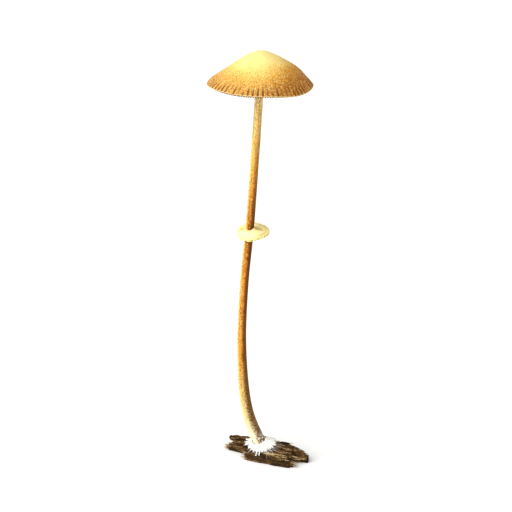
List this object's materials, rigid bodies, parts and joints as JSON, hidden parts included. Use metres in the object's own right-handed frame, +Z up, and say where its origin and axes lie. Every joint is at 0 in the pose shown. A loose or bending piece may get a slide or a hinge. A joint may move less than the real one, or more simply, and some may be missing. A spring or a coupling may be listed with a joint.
{
  "type": "toadstool",
  "caption": "Small ochre toadstool with a conical cap, gills, a slender bent stem with a ring, and white mycelium on a scrap of rotten wood.",
  "frame": {"origin": "on the flat underside of the wood, below its middle", "axes": "+Z up along the stem, +X to the viewer's right, +Y away from the viewer"},
  "size_m": [0.0243, 0.0242, 0.0994],
  "materials": {
    "cap_skin": "smooth, faintly greasy",
    "gill_flesh": "matte",
    "stem_flesh": "silky, fibrous",
    "ring_membrane": "matte",
    "mycelium_felt": "cottony",
    "rotten_wood": "rough, splintered"
  },
  "bodies": {
    "root": {"cap": "cap_skin", "gills": "gill_flesh", "stem": "stem_flesh", "ring": "ring_membrane", "mycelium": "mycelium_felt", "wood": "rotten_wood"}
  },
  "joints": []
}
